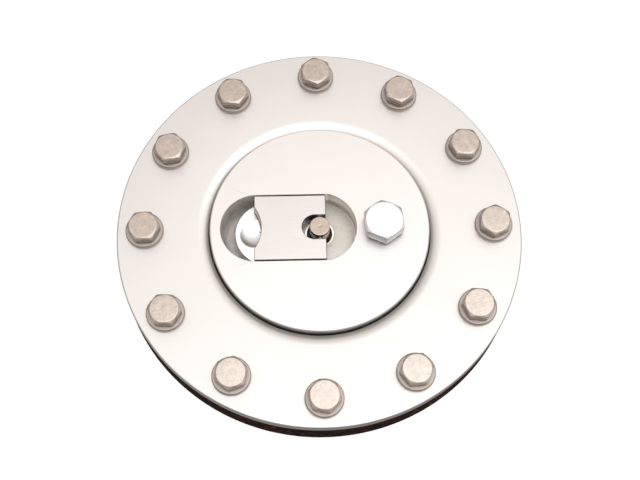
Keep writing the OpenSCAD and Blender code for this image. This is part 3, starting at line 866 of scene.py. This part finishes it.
def build_rings():
    """Seals, bush, washers and insert: turned rings that differ only in size and material."""
    seal_r = 2 * SEAL_MEAN_R - SEAL_HIGH.x
    ring_piece("cap_seal", "seal_rubber", "cap", seal_r, 1.45)
    ring_piece("spindle_seal", "seal_rubber", "cap", SPINDLE_R + 0.02, 0.97)
    # The bush is painted dark: painted shade inside the floor hole.
    ring_piece("spindle_bush", "bush_bronze", "cap", SPINDLE_R + 0.03, 0.2)
    ring_piece("gland_washer", "pin_steel", "cap", SPINDLE_R + 0.15, 0.15)
    ring_piece("plug_seal", "seal_rubber", "plug_seat", PLUG_THREAD_R + 0.13, 0.12, PLUG_X)
    ring_piece("bar_washer", "pin_steel", "spindle", BOLT_R + 0.2, 0.15)
    ring_piece("nut_insert", "insert_nylon", "spindle", BOLT_R + 0.01, 0.15)


def ring_piece(node, slot_name, body, inner_r, edge, centre_x=0.0):
    """A ring with rounded edges. Its outside and its height come from the CAD node's box."""
    low, high = box_mm(node)
    outer_r = high.y
    outline = rounded([(inner_r, low.z, edge), (outer_r, low.z, edge), (outer_r, high.z, edge),
                       (inner_r, high.z, edge)], 6)
    ring = shade(revolve(node + "_fine", outline, 160, (centre_x, 0.0)))
    return finish_piece(ring, slot_name, body, node)


def build_retaining_ring():
    """An internal circlip: a springy band with a gap and an eye at each end."""
    low, high = box_mm("retaining_ring")
    outer_r, band, gap, eye_r = -low.x, 1.4, 16, 1.1
    outline = arc((0, 0), outer_r, gap, 360 - gap, 144) + arc((0, 0), outer_r - band, 360 - gap, gap, 144)
    clip = prism("retaining_ring_fine", outline, low.z, high.z)
    turns = [math.radians(s * (gap + 7)) for s in (-1, 1)]
    reach = outer_r - eye_r - 0.15
    eyes = [(reach * math.cos(a), reach * math.sin(a)) for a in turns]
    combine(clip, [prism("eye", circle(eye_r, eye, 48), low.z, high.z) for eye in eyes], "UNION")
    holes = [prism("eye_hole", circle(0.5, eye, 32), low.z - 1, high.z + 1) for eye in eyes]
    combine(clip, holes, "DIFFERENCE")
    soften(clip, 0.08, 2, 40)
    return finish_piece(clip, "ring_steel", "cap", "retaining_ring")


# ----------------------------------------------------------------------------
# Lever, spindle, plug
# ----------------------------------------------------------------------------

def block_side():
    """Side view of the lever's block. The cam nose's support distance falls evenly as the lever lifts."""
    cam_h, arm = PIVOT_Z - FLOOR_Z - 0.02, LEVER_HIGH.x
    fall = (cam_h - arm) / (math.pi / 2)
    nose = []
    for k in range(25):
        a = math.pi / 2 * k / 24
        h = cam_h - fall * a
        nose.append((h * math.sin(a) - fall * math.cos(a), PIVOT_Z - h * math.cos(a) - fall * math.sin(a)))
    heel = -(EYE_R + WELL_WALL + HEEL_GAP)
    return nose + [(arm, LEVER_HIGH.z), (BLOCK_X, LEVER_HIGH.z), (BLOCK_X, LEVER_LOW.z), (heel, LEVER_LOW.z),
                   (heel, PIVOT_Z - cam_h)]


def build_lever():
    """A block with fork and cam nose, a concave front, and a round lip with a thumb dimple."""
    half_w = LEVER_HIGH.y
    lip_top, lip_low = LEVER_HIGH.z - LIP_DROP, LEVER_LOW.z
    ball_r = (DIMPLE_R ** 2 + DIMPLE_DEPTH ** 2) / (2 * DIMPLE_DEPTH)
    lever = prism("cam_lever_fine", block_side(), -half_w, half_w, "Y")
    scoop = circle(SCOOP_R, (SCOOP_X - SCOOP_R, 0), 192)
    combine(lever, [prism("scoop", scoop, lip_top, LEVER_HIGH.z + 1)], "DIFFERENCE")
    lip = arc((LEVER_LOW.x + half_w, 0), half_w, 100, 260, 64)
    combine(lever, [prism("lip", lip, lip_low, lip_top)], "UNION")
    ball = []
    for k in range(33):
        a = -math.pi / 2 + math.pi * k / 32
        ball.append((max(0.0, ball_r * math.cos(a)) if 0 < k < 32 else 0.0,
                     lip_top + ball_r - DIMPLE_DEPTH + ball_r * math.sin(a)))
    dimple = outward(revolve("dimple", ball, 96, (DIMPLE_X, 0)))
    combine(dimple, [prism("foot", scoop, lip_low, lip_top + 0.5)], "INTERSECT")
    combine(lever, [dimple], "DIFFERENCE")
    dissolve_flat(lever)
    fork = arc((-FORK_REACH, 0), FORK_R, 90, 270, 48)
    fork += [(LEVER_HIGH.x + 1, -FORK_R), (LEVER_HIGH.x + 1, FORK_R)]
    pin_bore = prism("pin_bore", circle(PIN_BORE_R, (0, PIVOT_Z), 48), -half_w - 1, half_w + 1, "Y")
    combine(lever, [prism("fork", fork, LEVER_LOW.z - 1, LEVER_HIGH.z + 1), pin_bore], "DIFFERENCE")
    # Bevel faces get material 1, the painted shade line along the lever's edges.
    soften(lever, 0.2, 2, 35, material=1)
    finish_piece(lever, "lever_aluminium", "lever", "cam_lever")
    # Material 1 paints shade on the bevels; material 2, on the lip, is painted light.
    for name in ("lever_edge_shaded", "lever_lip_lit"):
        lever.data.materials.append(MATERIALS[name])
    for polygon in lever.data.polygons:
        polygon.material_index = 2 if lip_low + 0.1 < polygon.center.z / MM < lip_top + 0.01 else 0
    return lever


def build_spindle():
    """Turned spindle: centre mark and rings on its top, a pin hole, two flats for the lock bar, a thread."""
    top, edge, r = SPINDLE_HIGH.z, 0.2, SPINDLE_R
    rows = [top - 0.15, ring_row(0.3, top - 0.02)]
    rows += [ring_row(0.3 + 0.35 * k, top - 0.02 * (k % 2)) for k in range(1, 9)]
    rows += [ring_row(r - edge, top), ring_row(r - 0.3 * edge, top - 0.3 * edge), ring_row(r, top - edge)]
    rows += [ring_row(r, z) for z in (PIVOT_Z + 1.6, PIVOT_Z - 1.6, BAR_HIGH.z + 0.5, BAR_LOW.z)]
    rows += thread_rows(SPINDLE_THREAD_R, M6_PITCH, BAR_LOW.z - 0.01, SPINDLE_LOW.z) + [SPINDLE_LOW.z]
    points, faces = [], []
    skin(points, faces, (0.0, 0.0), rows, 96)
    spindle = outward(make("spindle_fine", points, faces))
    cuts = [prism("flat", [(s * SPINDLE_FLATS / 2, -5), (s * 5, -5), (s * 5, 5), (s * SPINDLE_FLATS / 2, 5)],
                  BAR_LOW.z - 0.005, BAR_HIGH.z) for s in (-1, 1)]
    cuts.append(prism("cross_hole", circle(1.26, (0, PIVOT_Z), 32), -5, 5, "Y"))
    combine(spindle, cuts, "DIFFERENCE")
    shade(spindle, 30)
    return finish_piece(spindle, "spindle_stainless", "spindle", "spindle")


def turned_pin(name, radius, low, high, edge):
    """A round pin along Z with rounded rims."""
    outline = rounded([(0, low, 0), (radius, low, edge), (radius, high, edge), (0, high, 0)], 5)
    return revolve(name, outline, 64)


def build_pins():
    """The lever's pivot pin, along Y, and the two stop pins under the ledge."""
    pin_low, pin_high = box_mm("lever_pin")
    pivot = turned_pin("lever_pin_fine", pin_high.x, pin_low.y, pin_high.y, 0.2)
    pivot.data.transform(Matrix.Translation((0, 0, PIVOT_Z * MM)) @ Matrix.Rotation(math.pi / 2, 4, "X"))
    finish_piece(shade(pivot), "pin_steel", "spindle", "lever_pin")

    low, high = box_mm("stop_pins")
    places = [(high.x - STOP_PIN_R, high.y - STOP_PIN_R), (low.x + STOP_PIN_R, low.y + STOP_PIN_R)]
    pins = []
    for x, y in places:
        pins.append(turned_pin("stop_pin", STOP_PIN_R, low.z, high.z, 0.3))
        pins[-1].data.transform(Matrix.Translation((x * MM, y * MM, 0)))
    finish_piece(shade(join("stop_pins_fine", pins)), "pin_steel", "flange", "stop_pins")


def build_lock_bar():
    """A flat bar with round, bevelled ends and a hole with two flats."""
    r, nose = BAR_HIGH.y, 1.5
    bar = revolve("lock_bar_fine", [(0, BAR_LOW.z), (r - nose, BAR_LOW.z), (r, BAR_LOW.z + nose),
                                    (r, BAR_HIGH.z), (0, BAR_HIGH.z)], 256)
    half = BAR_HIGH.x
    body = prism("body", [(-half, -r - 1), (half, -r - 1), (half, r + 1), (-half, r + 1)], BAR_LOW.z - 1,
                 BAR_HIGH.z + 1)
    combine(bar, [body], "INTERSECT")
    side = math.degrees(math.acos(SPINDLE_FLATS / 2 / SPINDLE_R))
    keyed = arc((0, 0), SPINDLE_R + 0.03, side, 180 - side, 24) + arc((0, 0), SPINDLE_R + 0.03, 180 + side,
                                                                      360 - side, 24)
    combine(bar, [prism("keyed", keyed, BAR_LOW.z - 1, BAR_HIGH.z + 1)], "DIFFERENCE")
    soften(bar, 0.3, 3, 35)
    return finish_piece(bar, "bar_steel", "spindle", "lock_bar")


def build_lock_nut():
    """A hexagon nut, chamfered underneath, with a round crown that holds a nylon insert."""
    top, crown_low = NUT_HIGH.z, NUT_LOW.z
    face = crown_low + NUT_CROWN_H
    insert_high = box_mm("nut_insert")[1]
    bore, cavity = BOLT_R + 0.01, insert_high.x + 0.01
    turn = head_turn("lock_nut", (0, 0), BOLT_FLATS / 2 / math.cos(math.pi / 6))
    inside = [(bore + 0.4, top), (bore, top - 0.4), (bore, insert_high.z + 0.01),
              (cavity, insert_high.z + 0.01), (cavity, crown_low + 0.3), (bore, crown_low + 0.3),
              (bore, crown_low)]
    crown = [(NUT_CROWN_R - 0.3, crown_low), (NUT_CROWN_R, crown_low + 0.3), (NUT_CROWN_R, face)]
    rows = [ring_row(*corner) for corner in inside + crown]
    rows += head_rows(turn, BOLT_FLATS, BOLT_TOP_D, face, face - top)[2:]
    points, faces = [], []
    skin(points, faces, (0.0, 0.0), rows)
    nut = shade(outward(make("lock_nut_fine", points, faces)), 28)
    return finish_piece(nut, "bar_steel", "spindle", "lock_nut")


def build_plug():
    """The vent plug, a single skin like the bolts."""
    corner = PLUG_FLATS / 2 / math.cos(math.pi / 6)
    top, seat = PLUG_HIGH.z, PLUG_SEAL_HIGH.z + 0.01
    turn = head_turn("vent_plug", (PLUG_X, 0), corner)
    rows = [top] + head_rows(turn, PLUG_FLATS, PLUG_TOP_D, top, top - seat)
    rows += thread_rows(PLUG_THREAD_R, M8_PITCH, seat - 0.3, PLUG_LOW.z) + [PLUG_LOW.z]
    points, faces = [], []
    skin(points, faces, (PLUG_X, 0.0), rows)
    plug = shade(outward(make("vent_plug_fine", points, faces)), 28)
    return finish_piece(plug, "plug_chrome", "plug", "vent_plug")


def build_spring():
    """Round-wire spring, close-coiled at both ends. It stretches between the cap and the lock bar."""
    wire_r = 0.5
    mean_r = SPRING_HIGH.y - wire_r
    top, low = SPRING_HIGH.z - wire_r, SPRING_LOW.z + wire_r
    turns, closed, pitch_closed, sides, per_turn = 4.0, 0.75, 1.04, 14, 48
    open_pitch = (top - low - 2 * closed * pitch_closed) / (turns - 2 * closed)

    def drop(t):
        if t < closed:
            return t * pitch_closed
        if t < turns - closed:
            return closed * pitch_closed + (t - closed) * open_pitch
        return (top - low) - (turns - t) * pitch_closed

    steps = int(turns * per_turn)
    points = []
    for i in range(steps + 1):
        t = i / per_turn
        a = 2 * math.pi * t
        for k in range(sides):
            b = 2 * math.pi * k / sides
            r = mean_r + wire_r * math.cos(b)
            points.append((r * math.cos(a), r * math.sin(a), top - drop(t) + wire_r * math.sin(b)))
    faces = [(i * sides + k, i * sides + (k + 1) % sides,
              (i + 1) * sides + (k + 1) % sides, (i + 1) * sides + k)
             for i in range(steps) for k in range(sides)]
    faces += [tuple(reversed(range(sides))), tuple(range(steps * sides, (steps + 1) * sides))]
    spring = shade(outward(make("return_spring_fine", points, faces)), 50)
    spring.data.materials.append(MATERIALS["spring_steel"])
    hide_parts("return_spring")
    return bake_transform(spring)


# ----------------------------------------------------------------------------
# Studio
# ----------------------------------------------------------------------------

def build_floor():
    """A plain pale floor. Only a camera above it sees it; other rays pass through it to the dome."""
    size, z = 4000, FLANGE_LOW.z
    corners = [(-size, -size, z), (size, -size, z), (size, size, z), (-size, size, z)]
    floor = make("floor", corners, [(0, 1, 2, 3)])
    material, tree, shader = start_material("floor_white")
    shader.inputs["Base Color"].default_value = (0.3, 0.3, 0.3, 1)
    shader.inputs["Roughness"].default_value = 0.9
    shader.inputs["Specular IOR Level"].default_value = 0.1
    shader.inputs["Emission Color"].default_value = (1, 1, 1, 1)
    shader.inputs["Emission Strength"].default_value = 0.88
    unseen = maths(tree, "SUBTRACT", 1.0, add(tree, "LightPath").outputs["Is Camera Ray"])
    behind = add(tree, "NewGeometry").outputs["Backfacing"]
    clear = add(tree, "BsdfTransparent").outputs["BSDF"]
    through = maths(tree, "MAXIMUM", behind, unseen)
    surface = add(tree, "MixShader", {0: through, 1: shader.outputs["BSDF"], 2: clear})
    tree.links.new(surface.outputs["Shader"], tree.nodes["Material Output"].inputs["Surface"])
    floor.data.materials.append(material)


# Brightness of the studio dome, by the angle in degrees from its brightest direction
DOME_LEVELS = [(0, 1.75), (23, 1.75), (27, 1.45), (30, 1.12), (34, 0.98), (40, 0.92), (46, 0.86), (54, 0.74),
               (64, 0.57), (74, 0.46), (90, 0.38), (110, 0.28)]
DOME_TOWARDS = Vector((0.17, -0.085, 0.98)).normalized()
DOME_WARM = (1.0, 0.94, 0.89)


def build_world():
    """A soft studio dome: a broad bright area overhead, warmer and dimmer towards the horizon."""
    world = bpy.data.worlds.new("studio")
    bpy.context.scene.world = world
    world.use_nodes = True
    tree = world.node_tree
    direction = add(tree, "TexCoord").outputs["Generated"]
    facing = add(tree, "VectorMath", {0: direction, 1: DOME_TOWARDS},
                 operation="DOT_PRODUCT").outputs["Value"]
    away = maths(tree, "DIVIDE", maths(tree, "ARCCOSINE", facing), math.pi)
    ramp = add(tree, "ValToRGB", {"Fac": away})
    brightest = max(level for angle, level in DOME_LEVELS)
    fill_ramp(ramp, [(angle / 180, tuple(level / brightest * c for c in warmth(level)))
                     for angle, level in DOME_LEVELS])
    forward = add(tree, "SeparateXYZ", {0: direction}).outputs[1]
    level = maths(tree, "MULTIPLY", remap(tree, forward, -0.85, -0.45, 0.45, 1.0), brightest)
    lit = add(tree, "VectorMath", {0: ramp.outputs["Color"], "Scale": level}, operation="SCALE").outputs[0]
    seen = add(tree, "LightPath").outputs["Is Camera Ray"]
    mixed = add(tree, "Mix", {"Factor": seen, 6: lit, 7: (0.98, 0.98, 0.98, 1)}, data_type="RGBA")
    tree.links.new(mixed.outputs[2], tree.nodes["Background"].inputs["Color"])


def warmth(level):
    """Colour of a light level: white where the dome is brightest, warm where it is dim."""
    share = min(1.0, max(0.0, (level - 1.0) / 0.5))
    return tuple(warm + (1 - warm) * share for warm in DOME_WARM)


def build_camera():
    """The photograph's viewpoint, solved from the bolt circle."""
    azimuth, elevation, roll = math.radians(-3.38), math.radians(66.43), math.radians(2.07)
    distance = 377.2
    back = Vector((math.sin(azimuth) * math.cos(elevation), -math.cos(azimuth) * math.cos(elevation),
                   math.sin(elevation)))
    data = bpy.data.cameras.new("camera")
    data.sensor_width = 36.0
    data.lens = 61.3
    data.shift_x, data.shift_y = 0.0005, -0.0184
    data.clip_start, data.clip_end = 0.01, 20
    camera = bpy.data.objects.new("camera", data)
    bpy.context.scene.collection.objects.link(camera)
    camera.location = (Vector((0, 0, FACE_Z)) + back * distance) * MM
    camera.rotation_mode = "QUATERNION"
    camera.rotation_quaternion = (-back).to_track_quat("-Z", "Y") @ Quaternion((0, 0, 1), roll)
    bpy.context.scene.camera = camera


build_flange()
build_gasket()
build_bolts()
build_washers()
build_cap()
build_wear_plate()
build_rings()
build_retaining_ring()
build_lever()
build_spindle()
build_pins()
build_lock_bar()
build_lock_nut()
build_plug()
build_spring()
build_floor()
build_world()
build_camera()
bpy.context.scene.view_settings.view_transform = "Standard"
